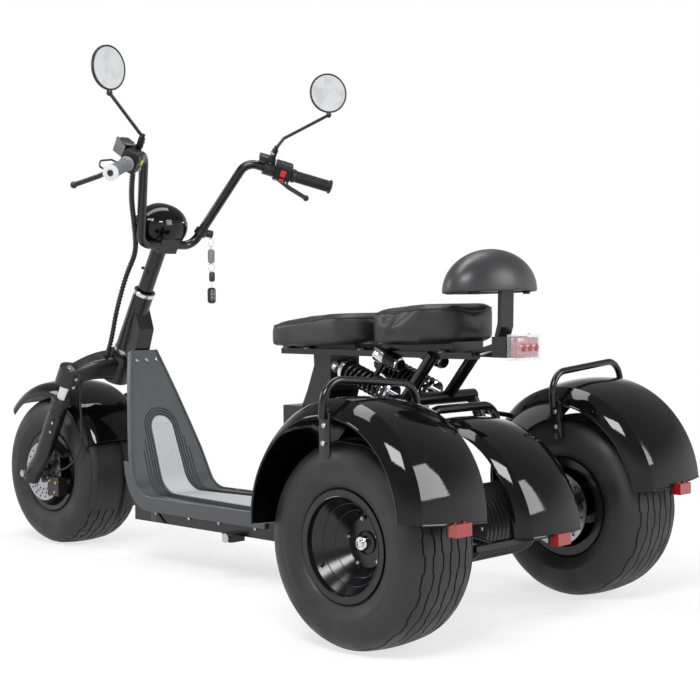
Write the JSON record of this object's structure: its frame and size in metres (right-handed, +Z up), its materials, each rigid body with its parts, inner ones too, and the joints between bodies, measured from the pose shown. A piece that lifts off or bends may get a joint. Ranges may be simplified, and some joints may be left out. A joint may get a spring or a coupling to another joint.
{
  "type": "motor tricycle",
  "caption": "Step-through motor trike with fat tyres, swept handlebar, round mirrors, rider and pillion seats, domed backrest, and a fender with a grab handle over each rear bay.",
  "frame": {"origin": "on the ground, at mid width and half way along the overall length", "axes": "+X forwards, +Y to the rider's left, +Z up"},
  "size_m": [2.0946, 1.0606, 1.3618],
  "materials": {
    "gloss_black": "deep gloss black fenders",
    "black_paint": "gloss black powder coat on tubes",
    "cast_black": "satin black castings",
    "chrome": "polished",
    "steel": "machined",
    "rim_black": "gloss black pressed steel rim",
    "tyre": "moulded rubber",
    "rubber": "soft rubber",
    "shield": "dark grey moulded plastic",
    "mat": "light grey foot pad",
    "leather": "black synthetic leather",
    "plastic": "black moulded plastic",
    "grey_grip": "grey rubber grips",
    "mirror": "silvered glass",
    "red_lens": "red reflector plastic",
    "lamp_lens": "clear lamp cover with red inner lens",
    "head_lens": "clear headlamp glass",
    "motor": "dark motor casing"
  },
  "bodies": {
    "chassis": {"backrest_pad": "plastic", "backrest_post": "black_paint", "fender_handles": "black_paint", "fender_left": "gloss_black", "fender_middle": "gloss_black", "fender_right": "gloss_black", "floor_frame": "black_paint", "floor_mat": "mat", "front_seat": "leather", "leg_shield": "shield", "motor_block": "motor", "neck_frame": "black_paint", "rear_cradle": "black_paint", "rear_reflectors": "red_lens", "rear_seat": "leather", "seat_frame": "black_paint", "seat_pans": "plastic", "shock_reservoirs": "chrome", "shock_springs": "cast_black", "shock_units": "cast_black", "tail_light": "plastic", "tail_light_lens": "lamp_lens", "control_boxes": "plastic"},
    "steering": {"fork_crown": "cast_black", "fork_stanchions": "chrome", "fork_legs": "cast_black", "front_axle": "steel", "front_fender": "gloss_black", "mud_flap": "rubber", "front_fender_stays": "black_paint", "handlebar": "black_paint", "handlebar_clamp": "cast_black", "headlight_housing": "gloss_black", "headlight_lens": "head_lens", "grips": "grey_grip", "switch_left": "plastic", "switch_right": "plastic", "lever_perches": "cast_black", "brake_levers": "cast_black", "mirror_stems": "black_paint", "mirror_shells": "plastic", "mirror_glasses": "mirror", "front_caliper": "cast_black", "lever_reservoir": "plastic", "ignition_lock": "cast_black", "key_set": "steel", "cable_bundle": "rubber", "brake_hose": "rubber"},
    "front_wheel": {"front_tyre": "tyre", "front_rim": "rim_black", "front_disc": "steel"},
    "rear_wheel_left": {"rear_left_tyre": "tyre", "rear_left_rim": "rim_black", "rear_left_disc": "steel"},
    "rear_wheel_right": {"rear_right_tyre": "tyre", "rear_right_rim": "rim_black", "rear_right_disc": "steel"}
  },
  "joints": [
    {"name": "steering_turn", "type": "hinge", "parent": "chassis", "child": "steering", "pos_m": [0.77825, 0, 0.22], "axis": [-0.5, 0, 0.866], "range_deg": [-35, 35]},
    {"name": "front_wheel_spin", "type": "hinge", "parent": "steering", "child": "front_wheel", "pos_m": [0.82725, 0, 0.22], "axis": [0, 1, 0], "continuous": true},
    {"name": "rear_left_wheel_spin", "type": "hinge", "parent": "chassis", "child": "rear_wheel_left", "pos_m": [-0.77275, 0.375, 0.22], "axis": [0, 1, 0], "continuous": true},
    {"name": "rear_right_wheel_spin", "type": "hinge", "parent": "chassis", "child": "rear_wheel_right", "pos_m": [-0.77275, -0.375, 0.22], "axis": [0, 1, 0], "continuous": true}
  ]
}
